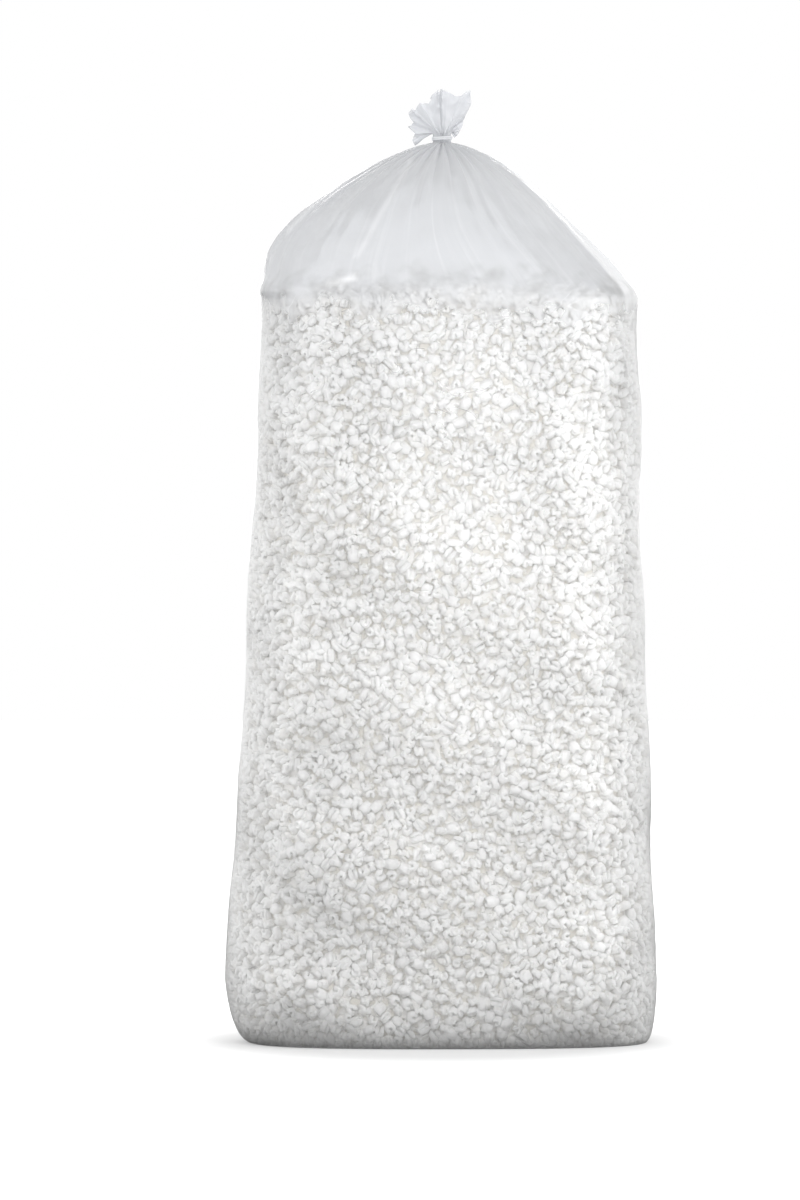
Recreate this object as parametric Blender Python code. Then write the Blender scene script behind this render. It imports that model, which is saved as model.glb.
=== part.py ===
# A tall clear film sack full of loose-fill packing peanuts, gathered and tied at the neck.
# Metres, +Z up. The origin is the middle of the flat foot, on the floor, and the front faces -Y.

import math

import bmesh
import bpy
import numpy as np
from mathutils import Euler, Matrix, Vector, noise
from mathutils.bvhtree import BVHTree

# Sack body, as it stands when it is full
BELLY_WIDTH = 0.720
BELLY_DEPTH = 0.540
BELLY_HEIGHT = 0.105
FOOT_TUCK = 0.032
FOOT_LEAN = 0.009
SHOULDER_WIDTH = 0.633
SHOULDER_DEPTH = 0.520
SHOULDER_HEIGHT = 1.240
SHOULDER_LEAN = 0.012
SECTION_POWER = 2.5
TAPER_POWER = 1.5

# Empty film drawn in above the fill, from the shoulder to the neck
CONE_HEIGHT = 0.260
CONE_POWER = 1.6
CONE_FULLNESS = 0.74
CONE_SLUMP = 0.025
PLEATS = 12
PLEAT_AT_SHOULDER = 0.012
PLEAT_AT_NECK = 0.180
SLACK_AT_LEFT = 0.0075
SLACK_AT_RIGHT = 0.0050
SLACK_HEIGHT = 0.034

# Neck and the open mouth of the sack, which spreads above the tie as a flat fan that leans left
NECK_RADIUS = 0.0145
NECK_LENGTH = 0.014
CHANNEL_RADIUS = 0.003
TUFT_REACH = 0.074
TUFT_REACH_RIGHT = 0.022
TUFT_REACH_LEFT = 0.048
TUFT_SPREAD = math.radians(195)
TUFT_DEPTH = 0.024
TUFT_RISE = 0.011
TUFT_PLEAT = 0.0065
TUFT_LOBE = 0.007

# Film and fill
FILM_WALL = 0.0005
SEAT_GAP = 0.0003
LUMP_SIZE = 0.052
FILM_DENT = 0.0025
FILL_CREST = 0.0015
FILL_HOLLOW = 0.0150
FILL_UNEVEN = 0.0030
HEAP_CROWN = 0.040
HEAP_DENT = 0.0090

# Twist tie
TIE_WIRE_RADIUS = 0.0013
TIE_TURNS = 2
TIE_TWISTS = 1.5
TIE_TAIL = 0.016

# One peanut: an S-shaped foam extrusion, cut to length
PEANUT_TALL = 0.0260
PEANUT_STROKE = 0.0072
PEANUT_LENGTH = 0.0200
PEANUT_SPREAD = 0.07
LOOSE_PEANUTS = 36
HEAP_REACH = 0.80

COLUMNS = 4 * PLEATS
FOOT_ROWS = 3
BODY_ROWS = 10
CONE_ROWS = 8
TUFT_ROWS = 5
HEAP_ROWS = 5

rng = np.random.default_rng(14)
angles = np.arange(COLUMNS) * 2 * math.pi / COLUMNS


# Small helpers

def clear_scene():
    for obj in list(bpy.data.objects):
        bpy.data.objects.remove(obj, do_unlink=True)


def material(name, color, roughness, metallic=0.0, alpha=1.0):
    made = bpy.data.materials.new(name)
    made.use_nodes = True
    shader = made.node_tree.nodes["Principled BSDF"]
    shader.inputs["Base Color"].default_value = (*color, 1.0)
    shader.inputs["Roughness"].default_value = roughness
    shader.inputs["Metallic"].default_value = metallic
    shader.inputs["Alpha"].default_value = alpha
    made.diffuse_color = (*color, alpha)
    return made


def add_object(name, data, collection, surface):
    obj = bpy.data.objects.new(name, data)
    data.materials.clear()
    data.materials.append(surface)
    collection.objects.link(obj)
    return obj


def smoothstep(value):
    t = min(1.0, max(0.0, value))
    return t * t * (3 - 2 * t)


def blend(a, b, share):
    return a + (b - a) * share


# Outline of the sack: half width, half depth and sideways lean at a height

def body_size(z):
    up = max(0.0, (z - BELLY_HEIGHT) / (SHOULDER_HEIGHT - BELLY_HEIGHT))
    taper = (1 - up) ** TAPER_POWER
    half_width = blend(SHOULDER_WIDTH, BELLY_WIDTH, taper) / 2
    half_depth = blend(SHOULDER_DEPTH, BELLY_DEPTH, taper) / 2
    lean = SHOULDER_LEAN * smoothstep(up)
    if z < BELLY_HEIGHT:
        below = 1 - z / BELLY_HEIGHT
        tucked = 1 - math.sqrt(1 - below * below)
        half_width -= FOOT_TUCK * tucked
        half_depth -= FOOT_TUCK * tucked
        lean += FOOT_LEAN * tucked
    return half_width, half_depth, lean


def cone_size(share):
    # The share is 0 at the shoulder and 1 at the neck. The slack film slumps to the left.
    spread = (1 - share ** CONE_POWER) ** CONE_FULLNESS
    half_width = blend(NECK_RADIUS, SHOULDER_WIDTH / 2, spread)
    half_depth = blend(NECK_RADIUS, SHOULDER_DEPTH / 2, spread)
    lean = SHOULDER_LEAN * (1 - share) - CONE_SLUMP * math.sin(math.pi * share)
    return half_width, half_depth, lean


def section(half_width, half_depth, power, centre_x, z):
    ring = np.empty((COLUMNS, 3))
    cosine, sine = np.cos(angles), np.sin(angles)
    ring[:, 0] = centre_x + half_width * np.sign(cosine) * np.abs(cosine) ** (2 / power)
    ring[:, 1] = half_depth * np.sign(sine) * np.abs(sine) ** (2 / power)
    ring[:, 2] = z
    return ring


# Rings of the film's outer face, from the floor to the mouth

def body_rings():
    foot = [BELLY_HEIGHT * (1 - math.cos(0.5 * math.pi * i / FOOT_ROWS)) for i in range(FOOT_ROWS)]
    body = np.linspace(BELLY_HEIGHT, SHOULDER_HEIGHT, BODY_ROWS + 1)
    rings = []
    for z in [*foot, *body]:
        half_width, half_depth, lean = body_size(z)
        rings.append(section(half_width, half_depth, SECTION_POWER, lean, z))
    return rings


def cone_rings():
    pleat_depths = rng.uniform(0.55, 1.0, PLEATS)
    per_column = np.repeat(pleat_depths, COLUMNS // PLEATS)
    rings = []
    for row in range(1, CONE_ROWS + 1):
        share = math.sin(0.5 * math.pi * row / CONE_ROWS)
        half_width, half_depth, lean = cone_size(share)
        power = blend(SECTION_POWER, 2.0, smoothstep(2 * share))
        z = SHOULDER_HEIGHT + CONE_HEIGHT * share
        ring = section(half_width, half_depth, power, lean, z)
        depth = blend(PLEAT_AT_SHOULDER, PLEAT_AT_NECK, share ** 3)
        swell = 1 - depth * per_column * 0.5 * (1 - np.cos(PLEATS * angles))
        # The slack film steps in above the fill, more on the left
        step = smoothstep((z - SHOULDER_HEIGHT) / SLACK_HEIGHT) * (1 - share ** 6)
        left = SLACK_AT_LEFT * np.maximum(0.0, -np.cos(angles)) ** 2
        right = SLACK_AT_RIGHT * np.maximum(0.0, np.cos(angles)) ** 2 * smoothstep(2 - 2 * share)
        ring[:, 0] = lean + (ring[:, 0] - lean) * swell + step * (left - right)
        ring[:, 1] *= swell
        rings.append(ring)
    return rings


def mouth_rings():
    tie_height = SHOULDER_HEIGHT + CONE_HEIGHT + NECK_LENGTH / 2
    start = section(NECK_RADIUS, NECK_RADIUS, 2.0, 0.0, tie_height + NECK_LENGTH / 2)
    # The right of the neck goes to one end of the fan, the left to the other, by the back and by the front
    spread = 1 - np.abs(angles - math.pi) / math.pi
    middle = np.sin(math.pi * spread)
    back = np.sign(math.pi - angles)
    wave = np.cos(PLEATS * angles)
    lobes = wave + np.repeat(rng.uniform(-1, 1, PLEATS), COLUMNS // PLEATS)
    ends = blend(TUFT_REACH_RIGHT, TUFT_REACH_LEFT, spread)
    reach = blend(ends, TUFT_REACH, middle ** 0.8) + TUFT_LOBE * lobes * middle
    deep = TUFT_DEPTH * middle ** 0.7 + TUFT_PLEAT * wave * middle
    direction = TUFT_SPREAD * spread
    end = np.empty((COLUMNS, 3))
    end[:, 0] = reach * np.cos(direction)
    end[:, 1] = back * deep
    end[:, 2] = tie_height + reach * np.sin(direction)
    # Each fold leaves the neck upwards, then turns over towards its end
    bend = start + (end - start) * (0.25, 0.25, 0.0) + (0.0, 0.0, TUFT_RISE)
    rings = [start]
    for row in range(1, TUFT_ROWS + 1):
        t = row / TUFT_ROWS
        rings.append((1 - t) ** 2 * start + 2 * t * (1 - t) * bend + t * t * end)
    return rings


def ring_normals(rings):
    grid = np.array(rings)
    around = np.roll(grid, -1, axis=1) - np.roll(grid, 1, axis=1)
    upward = np.gradient(grid, axis=0)
    normals = np.cross(around, upward)
    return normals / np.linalg.norm(normals, axis=2, keepdims=True)


def lump_field(rings):
    # 0 where a peanut pushes the film out, up to 1 in the hollows between
    field = np.zeros((len(rings), COLUMNS))
    for row, ring in enumerate(rings):
        for column, point in enumerate(ring):
            value = noise.noise(Vector(point) / LUMP_SIZE)
            field[row, column] = min(1.0, max(0.0, 0.5 + value))
    field[0] = 0.0
    return field


# Lofting: rings become rows of quads, each cut along the same diagonal

def add_ring(bm, ring):
    return [bm.verts.new(point) for point in ring]


def add_band(bm, lower, upper, faces_in=False):
    for j in range(COLUMNS):
        k = (j + 1) % COLUMNS
        for corners in ((lower[j], lower[k], upper[k]), (lower[j], upper[k], upper[j])):
            bm.faces.new(corners[::-1] if faces_in else corners)


def finish_mesh(bm, name):
    mesh = bpy.data.meshes.new(name)
    bm.normal_update()
    bm.to_mesh(mesh)
    bm.free()
    mesh.shade_smooth()
    return mesh


def inset(rings, normals, distance, floor_rise):
    # The same rings moved inwards. The floor ring moves level, and rises by the floor's thickness.
    moved = np.array(rings) - normals * np.asarray(distance)[..., None]
    level = normals[0].copy()
    level[:, 2] = 0.0
    level /= np.linalg.norm(level, axis=1, keepdims=True)
    moved[0] = rings[0] - level * np.min(np.asarray(distance))
    moved[0, :, 2] = floor_rise
    return moved


def film_mesh(rings, normals):
    inner = inset(rings, normals, np.full((len(rings), COLUMNS), FILM_WALL), FILM_WALL)
    # Round the neck the film is bunched nearly solid, down to a narrow channel
    first = FOOT_ROWS + BODY_ROWS + CONE_ROWS // 2
    for row in range(first, len(rings)):
        centre = inner[row, :, :2].mean(axis=0)
        radius = np.mean(np.hypot(*(rings[row][:, :2] - centre).T))
        spread = smoothstep((radius - NECK_RADIUS) / (2 * NECK_RADIUS))
        bunch = blend(NECK_RADIUS - CHANNEL_RADIUS, 0.0, spread)
        inner[row, :, :2] = centre + (inner[row, :, :2] - centre) * (1 - bunch / radius)
    bm = bmesh.new()
    outside = [add_ring(bm, ring) for ring in rings]
    inside = [add_ring(bm, ring) for ring in inner]
    for row in range(len(rings) - 1):
        add_band(bm, outside[row], outside[row + 1])
        add_band(bm, inside[row], inside[row + 1], faces_in=True)
    add_band(bm, outside[-1], inside[-1])
    bm.faces.new(outside[0][::-1])
    bm.faces.new(inside[0])
    return finish_mesh(bm, "clear_film_sack")


def halved(rows):
    # The same rows with one more, half way, between each pair
    between = 0.5 * (rows[:-1] + rows[1:])
    return np.insert(rows, np.arange(1, len(rows)), between, axis=0)


def fill_mesh(rings, normals):
    # The heap of peanuts as one solid that the film wraps. Lumps stand out on it in a diamond pattern.
    above = FOOT_ROWS + BODY_ROWS + 1
    rows = np.concatenate((rings[:FOOT_ROWS], halved(np.array(rings[FOOT_ROWS:above]))))
    facing = np.concatenate((normals[:FOOT_ROWS], halved(normals[FOOT_ROWS:above])))
    facing /= np.linalg.norm(facing, axis=2, keepdims=True)
    row_number, column_number = np.indices(rows.shape[:2])
    hollow = (row_number + column_number) % 2
    depth = FILL_CREST + FILL_HOLLOW * hollow + FILL_UNEVEN * rng.uniform(0, 1, hollow.shape)
    depth[0] = 0.0
    walls = inset(rows, facing, FILM_WALL + SEAT_GAP + depth, FILM_WALL + SEAT_GAP)
    walls[-1, :, 2] = SHOULDER_HEIGHT
    bm = bmesh.new()
    lofted = [add_ring(bm, ring) for ring in walls]
    edge = walls[-1]
    centre = edge.mean(axis=0)
    for row in range(1, HEAP_ROWS):
        out = math.cos(0.5 * math.pi * row / HEAP_ROWS)
        ring = centre + (edge - centre) * out
        ring[:, 2] = SHOULDER_HEIGHT + HEAP_CROWN * (1 - out * out)
        for point in ring:
            point[2] += HEAP_DENT * noise.noise(Vector(point) / LUMP_SIZE)
        lofted.append(add_ring(bm, ring))
    for lower, upper in zip(lofted, lofted[1:]):
        add_band(bm, lower, upper)
    crown = bm.verts.new((centre[0], centre[1], SHOULDER_HEIGHT + HEAP_CROWN))
    for j in range(COLUMNS):
        bm.faces.new((lofted[-1][j], lofted[-1][(j + 1) % COLUMNS], crown))
    bm.faces.new(lofted[0][::-1])
    return finish_mesh(bm, "loose_fill")


# The tie: plastic-covered wire, wound round the neck and twisted to itself at the back

def tie_route():
    height = SHOULDER_HEIGHT + CONE_HEIGHT + NECK_LENGTH / 2
    pitch = 2 * TIE_WIRE_RADIUS + SEAT_GAP
    round_neck = NECK_RADIUS + SEAT_GAP + TIE_WIRE_RADIUS
    apart = TIE_WIRE_RADIUS + SEAT_GAP
    per_turn, per_twist = 16, 4
    first, last = 0.5 * math.pi + 0.10, 0.5 * math.pi - 0.10 + 2 * math.pi * TIE_TURNS
    points = []
    steps = per_turn * TIE_TURNS
    for i in range(steps + 1):
        share = i / steps
        angle = blend(first, last, share)
        climb = height + pitch * TIE_TURNS * (share - 0.5)
        # A polygon's flats lie nearer the neck than its corners
        reach = round_neck / math.cos(math.pi / per_turn)
        points.append(Vector((reach * math.cos(angle), reach * math.sin(angle), climb)))
    twist_steps = round(per_twist * 2 * TIE_TWISTS)
    tails = []
    for side, base in ((-1, points[0]), (1, points[-1])):
        tail = []
        for i in range(1, twist_steps + 1):
            share = i / twist_steps
            turn = 2 * math.pi * TIE_TWISTS * share
            lean = Vector((apart * math.cos(turn), 0.0, -apart * math.sin(turn))) * -side
            tail.append(Vector((0.0, base.y + apart + TIE_TAIL * share, height)) - lean)
        tails.append(tail)
    return [*tails[0][::-1], *points, *tails[1]]


def add_tie(collection, surface):
    data = bpy.data.curves.new("neck_twist_tie", "CURVE")
    data.dimensions = "3D"
    data.bevel_depth = TIE_WIRE_RADIUS
    data.bevel_resolution = 1
    data.use_fill_caps = True
    route = tie_route()
    spline = data.splines.new("POLY")
    spline.points.add(len(route) - 1)
    for knot, point in zip(spline.points, route):
        knot.co = (*point, 1.0)
    return add_object("neck_twist_tie", data, collection, surface)


# Peanuts

def peanut_outline():
    # The middle line of the S, as two arcs that meet in the middle, then both sides of its stroke
    arc = (PEANUT_TALL - PEANUT_STROKE) / 4
    gap_angle = math.radians(42)
    steps = 5
    upper = []
    for i in range(steps):
        angle = blend(gap_angle, 1.5 * math.pi, i / steps)
        upper.append((arc * math.cos(angle), arc + arc * math.sin(angle)))
    middle = [*upper, (0.0, 0.0), *[(-x, -y) for x, y in reversed(upper)]]
    line = np.array(middle)
    along = np.gradient(line, axis=0)
    along /= np.linalg.norm(along, axis=1, keepdims=True)
    side = np.column_stack((-along[:, 1], along[:, 0])) * PEANUT_STROKE / 2
    return [*(line - side), *(line + side)[::-1]]


def peanut_mesh():
    curve = bpy.data.curves.new("peanut_outline", "CURVE")
    curve.dimensions = "2D"
    curve.fill_mode = "BOTH"
    curve.extrude = PEANUT_LENGTH / 2
    outline = peanut_outline()
    spline = curve.splines.new("POLY")
    spline.points.add(len(outline) - 1)
    spline.use_cyclic_u = True
    for knot, (x, y) in zip(spline.points, outline):
        knot.co = (x, y, 0.0, 1.0)
    holder = bpy.data.objects.new("peanut_outline", curve)
    bpy.context.scene.collection.objects.link(holder)
    graph = bpy.context.evaluated_depsgraph_get()
    mesh = bpy.data.meshes.new_from_object(holder.evaluated_get(graph))
    bpy.data.objects.remove(holder)
    bm = bmesh.new()
    bm.from_mesh(mesh)
    bmesh.ops.remove_doubles(bm, verts=bm.verts, dist=1e-5)
    bmesh.ops.recalc_face_normals(bm, faces=bm.faces)
    bm.to_mesh(mesh)
    bm.free()
    mesh.name = "peanut"
    mesh.shade_smooth()
    mesh.set_sharp_from_angle(angle=math.radians(40))
    return mesh


def tree_of(mesh, matrix):
    points = [matrix @ vertex.co for vertex in mesh.vertices]
    faces = [tuple(polygon.vertices) for polygon in mesh.polygons]
    return points, faces, BVHTree.FromPolygons(points, faces)


def drop_distance(points, tree, ground_points, ground_tree):
    # How far a piece can fall before one of its points, or one of the ground's, meets the other
    down, up = Vector((0, 0, -1)), Vector((0, 0, 1))
    falls = []
    for point in points:
        falls.append(ground_tree.ray_cast(point, down)[3])
    for point in ground_points:
        falls.append(tree.ray_cast(point, up)[3])
    return min(fall for fall in falls if fall is not None)


def settle(mesh, matrix, ground):
    # Lowers the piece until it lies one seat gap above what is under it
    points, faces, tree = tree_of(mesh, matrix)
    low = Vector(min(p[i] for p in points) for i in range(2))
    high = Vector(max(p[i] for p in points) for i in range(2))
    falls = []
    for ground_points, _, ground_tree in ground:
        near = [
            p for p in ground_points
            if low.x <= p.x <= high.x and low.y <= p.y <= high.y
        ]
        if any(ground_tree.ray_cast(p, Vector((0, 0, -1)))[0] is not None for p in points) or near:
            falls.append(drop_distance(points, tree, near, ground_tree))
    lowered = Matrix.Translation((0, 0, SEAT_GAP - min(falls))) @ matrix
    while any(tree_of(mesh, lowered)[2].overlap(other) for _, _, other in ground):
        lowered = Matrix.Translation((0, 0, SEAT_GAP)) @ lowered
    return lowered


def add_peanuts(fill, collection, surface):
    mesh = peanut_mesh()
    ground = [tree_of(fill.data, fill.matrix_world)]
    golden = math.pi * (3 - math.sqrt(5))
    for number in range(LOOSE_PEANUTS):
        reach = HEAP_REACH * math.sqrt((number + 0.5) / LOOSE_PEANUTS)
        angle = golden * number
        place = Vector((
            SHOULDER_LEAN + reach * SHOULDER_WIDTH / 2 * math.cos(angle),
            reach * SHOULDER_DEPTH / 2 * math.sin(angle),
            SHOULDER_HEIGHT + HEAP_CROWN + 2 * PEANUT_TALL,
        ))
        turn = Euler(rng.uniform(-math.pi, math.pi, 3)).to_matrix().to_4x4()
        size = 1 + PEANUT_SPREAD * rng.uniform(-1, 1)
        matrix = Matrix.Translation(place) @ turn @ Matrix.Scale(size, 4)
        matrix = settle(mesh, matrix, ground)
        peanut = add_object(f"peanut_{number + 1:02d}", mesh, collection, surface)
        peanut.matrix_world = matrix
        ground.append(tree_of(mesh, matrix))


def main():
    clear_scene()
    sack = bpy.data.collections.new("packing_peanut_bag")
    bpy.context.scene.collection.children.link(sack)
    film = material("clear_film", (0.86, 0.87, 0.90), 0.25, alpha=0.35)
    foam = material("peanut_foam", (0.90, 0.89, 0.86), 0.80)
    white = material("tie_plastic", (0.88, 0.88, 0.87), 0.40)

    rings = [*body_rings(), *cone_rings(), *mouth_rings()]
    normals = ring_normals(rings)
    lumps = lump_field(rings)
    dents = FILM_DENT * lumps
    dents[FOOT_ROWS + BODY_ROWS + 1:] = 0.0
    rings = [ring - normal * dent[:, None] for ring, normal, dent in zip(rings, normals, dents)]

    add_object("clear_film_sack", film_mesh(rings, normals), sack, film)
    fill = add_object("loose_fill", fill_mesh(rings, normals), sack, foam)
    add_tie(sack, white)
    add_peanuts(fill, sack, foam)


main()
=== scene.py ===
import math

import bmesh
import bpy
import numpy as np
from mathutils import Euler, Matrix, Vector, noise


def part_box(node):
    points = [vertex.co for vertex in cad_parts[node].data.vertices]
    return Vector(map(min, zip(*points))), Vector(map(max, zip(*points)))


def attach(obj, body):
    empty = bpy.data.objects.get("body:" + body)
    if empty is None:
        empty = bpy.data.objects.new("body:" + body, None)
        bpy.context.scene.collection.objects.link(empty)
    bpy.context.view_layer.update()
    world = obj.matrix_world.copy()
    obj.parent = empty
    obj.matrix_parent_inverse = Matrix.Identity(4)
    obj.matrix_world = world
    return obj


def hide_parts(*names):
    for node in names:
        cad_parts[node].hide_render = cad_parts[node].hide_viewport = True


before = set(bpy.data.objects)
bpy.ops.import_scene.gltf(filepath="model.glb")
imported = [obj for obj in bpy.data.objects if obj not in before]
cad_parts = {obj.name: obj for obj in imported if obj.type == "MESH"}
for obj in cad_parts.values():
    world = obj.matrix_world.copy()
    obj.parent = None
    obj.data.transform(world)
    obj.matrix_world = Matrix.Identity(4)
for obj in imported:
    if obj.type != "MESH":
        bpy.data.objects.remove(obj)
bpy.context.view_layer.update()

tau = 2 * math.pi
rng = np.random.default_rng(41)


# Numbers and meshes

def smooth(value):
    t = np.clip(value, 0.0, 1.0)
    return t * t * (3 - 2 * t)


def mix(a, b, share):
    return a + (b - a) * share


def gridMesh(name, grid, closeBottom=False, closeTop=False, uvs=None, mixed=False):
    rows, columns = grid.shape[:2]
    index = np.arange(rows * columns).reshape(rows, columns)
    right = np.roll(index, -1, axis=1)
    quads = np.stack((index[:-1], right[:-1], right[1:], index[1:]), axis=-1).reshape(-1, 4)
    mesh = bpy.data.meshes.new(name)
    faces = quads.tolist()
    if closeBottom:
        faces.append(index[0][::-1].tolist())
    if closeTop:
        faces.append(index[-1].tolist())
    if mixed:
        rng.shuffle(faces)
    mesh.from_pydata(grid.reshape(-1, 3).tolist(), [], faces)
    if uvs is not None:
        layer = mesh.uv_layers.new(name="around")
        corners = np.empty(len(mesh.loops), dtype=np.int32)
        mesh.loops.foreach_get("vertex_index", corners)
        u, v = (corners % columns) / columns, uvs[corners // columns]
        layer.data.foreach_set("uv", np.column_stack((u, v)).ravel())
    mesh.shade_smooth()
    return mesh


def triangles(mesh):
    return sum(len(polygon.vertices) - 2 for polygon in mesh.polygons)


def addPiece(name, mesh, material, replaced=()):
    piece = bpy.data.objects.new(name, mesh)
    bpy.context.scene.collection.objects.link(piece)
    if material is not None:
        mesh.materials.clear()
        mesh.materials.append(material)
    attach(piece, "root")
    if replaced:
        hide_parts(*replaced)
    return piece


# Node trees: a Wire is a socket that can be used in sums, and a Net adds the nodes

class Wire:
    def __init__(self, net, socket):
        self.net, self.socket = net, socket

    def maths(self, operation, *others):
        return self.net.add("ShaderNodeMath", {"operation": operation}, dict(enumerate((self, *others))))

    def __add__(self, other):
        return self.maths("ADD", other)

    def __radd__(self, other):
        return self.net.value(other).maths("ADD", self)

    def __sub__(self, other):
        return self.maths("SUBTRACT", other)

    def __rsub__(self, other):
        return self.net.value(other).maths("SUBTRACT", self)

    def __mul__(self, other):
        return self.maths("MULTIPLY", other)

    def __rmul__(self, other):
        return self.maths("MULTIPLY", other)


class Net:
    def __init__(self, tree):
        self.tree = tree

    def add(self, kind, settings=None, values=None, out=0):
        node = self.tree.nodes.new(kind)
        for name, setting in (settings or {}).items():
            setattr(node, name, setting)
        for name, given in (values or {}).items():
            socket = node.inputs[name]
            if isinstance(given, Wire):
                self.tree.links.new(given.socket, socket)
            elif given is not None:
                socket.default_value = given
        return Wire(self, node.outputs[out]) if node.outputs else None

    def value(self, number):
        wire = self.add("ShaderNodeValue")
        wire.socket.default_value = number
        return wire

    def range(self, wire, low, high, toLow=0.0, toHigh=1.0):
        values = {"Value": wire, "From Min": low, "From Max": high, "To Min": toLow, "To Max": toHigh}
        return self.add("ShaderNodeMapRange", {"interpolation_type": "SMOOTHSTEP"}, values)

    def blend(self, share, first, second):
        node = self.add("ShaderNodeMix", {"data_type": "RGBA"}, {0: share})
        mixer = node.socket.node
        for socket, given in ((mixer.inputs[6], first), (mixer.inputs[7], second)):
            if isinstance(given, Wire):
                self.tree.links.new(given.socket, socket)
            else:
                socket.default_value = (*given, 1.0)
        return Wire(self, mixer.outputs[2])


def newMaterial(name):
    material = bpy.data.materials.new(name)
    material.use_nodes = True
    material.node_tree.nodes.clear()
    return material, Net(material.node_tree)


def finishMaterial(net, shader):
    net.add("ShaderNodeOutputMaterial", None, {"Surface": shader})


# Sack outline. The same rule shapes the film, holds the peanuts in, and bounds the fill behind them.

sackShape = {
    "bellyWidth": 0.720, "bellyDepth": 0.540, "bellyHeight": 0.105,
    "footTuck": 0.032, "footLean": 0.009,
    "shoulderWidth": 0.633, "shoulderDepth": 0.520, "shoulderHeight": 1.240, "shoulderLean": 0.012,
    "taperPower": 1.5, "sectionPower": 2.5,
    "coneHeight": 0.260, "conePower": 1.6, "coneFullness": 0.74, "coneSlump": 0.025,
    "neckRadius": 0.0145, "neckLength": 0.014,
}
undulation = {"depth": 0.0030, "waves": 9, "around": 5, "upward": (4.0, 26.0)}
undulationWaves = [
    (
        int(rng.integers(1, undulation["around"] + 1)),
        rng.uniform(*undulation["upward"]),
        rng.uniform(0, tau, 2),
    )
    for _ in range(undulation["waves"])
]


def wallWave(theta, z):        # slow swells of the sack's wall, always within the depth
    total = 0.0
    for around, upward, phase in undulationWaves:
        total = total + np.sin(around * theta + phase[0]) * np.sin(upward * z + phase[1])
    return undulation["depth"] * np.tanh(0.6 * total)


def outlineAt(z):              # half width, half depth, middle and section power at a height
    s = sackShape
    z = np.asarray(z, dtype=float)
    up = np.clip((z - s["bellyHeight"]) / (s["shoulderHeight"] - s["bellyHeight"]), 0, 1)
    taper = (1 - up) ** s["taperPower"]
    halfWidth = mix(s["shoulderWidth"], s["bellyWidth"], taper) / 2
    halfDepth = mix(s["shoulderDepth"], s["bellyDepth"], taper) / 2
    below = np.clip(1 - z / s["bellyHeight"], 0, 1)
    tucked = 1 - np.sqrt(1 - below * below)
    halfWidth = halfWidth - s["footTuck"] * tucked
    halfDepth = halfDepth - s["footTuck"] * tucked
    middle = s["shoulderLean"] * smooth(up) + s["footLean"] * tucked
    share = np.clip((z - s["shoulderHeight"]) / s["coneHeight"], 0, 1)
    spread = (1 - share ** s["conePower"]) ** s["coneFullness"]
    inCone = share > 0
    halfWidth = np.where(inCone, mix(s["neckRadius"], s["shoulderWidth"] / 2, spread), halfWidth)
    halfDepth = np.where(inCone, mix(s["neckRadius"], s["shoulderDepth"] / 2, spread), halfDepth)
    coneMiddle = s["shoulderLean"] * (1 - share) - s["coneSlump"] * np.sin(math.pi * share)
    middle = np.where(inCone, coneMiddle, middle)
    power = mix(s["sectionPower"], 2.0, smooth(2 * share))
    return halfWidth, halfDepth, middle, power


def evenAngles(count):         # angles whose points lie evenly along the section of the body
    fine = np.linspace(0, tau, 7201)
    halfWidth, halfDepth, _, power = outlineAt(0.6)
    x = halfWidth * np.sign(np.cos(fine)) * np.abs(np.cos(fine)) ** (2 / power)
    y = halfDepth * np.sign(np.sin(fine)) * np.abs(np.sin(fine)) ** (2 / power)
    length = np.concatenate(([0], np.cumsum(np.hypot(np.diff(x), np.diff(y)))))
    return np.interp(np.arange(count) * length[-1] / count, length, fine)


def sectionRing(theta, z, out=0.0):
    halfWidth, halfDepth, middle, power = outlineAt(z)
    c, s = np.cos(theta), np.sin(theta)
    ring = np.empty((*np.broadcast_shapes(np.shape(theta), np.shape(z)), 3))
    ring[..., 0] = middle + (halfWidth + out) * np.sign(c) * np.abs(c) ** (2 / power)
    ring[..., 1] = (halfDepth + out) * np.sign(s) * np.abs(s) ** (2 / power)
    ring[..., 2] = z
    return ring


# Fill: a lumpy core behind, and two layers of single peanuts in front of it

fill = {
    "filmGap": 0.0012, "slackAtShoulder": 0.0050, "slackAbove": 0.012, "coreDepth": 0.0160,
    "crown": 0.040, "rimRise": 0.004, "ripple": 0.006,
    "heapRows": 12, "columns": 96, "wallRows": 60, "finer": 3,
}
peanut = {
    "stroke": 0.0067, "length": 0.0190, "curl": 0.0058, "bend": 0.0041, "spread": 0.14,
    # Each ring is its place along the length and the width of the stroke there
    "roundEnds": ((-1.0, 0.64), (0.0, 1.10), (1.0, 0.64)), "plainEnds": ((-0.9, 0.8), (0.0, 1.1), (0.9, 0.8)),
    "outerSpacing": 0.0147, "outerDepth": 0.0060, "outerSink": 0.0030, "outerSectors": 4,
    "innerSpacing": 0.0201, "innerDepth": 0.0100, "innerSink": 0.0040, "innerSectors": 2,
    "candidates": 34000.0, "lyingShare": 0.55, "endOnPull": 2.5,
}


def heapHeight(x, y):          # top of the heap, high in the middle and level with the shoulder at the rim
    s = sackShape
    across = ((x - s["shoulderLean"]) / (s["shoulderWidth"] / 2)) ** 2 + (y / (s["shoulderDepth"] / 2)) ** 2
    ripple = fill["ripple"] * np.sin(19 * x + 1.0) * np.sin(23 * y + 0.5)
    return s["shoulderHeight"] + fill["rimRise"] + fill["crown"] * (1 - np.clip(across, 0, 1)) + ripple


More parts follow.
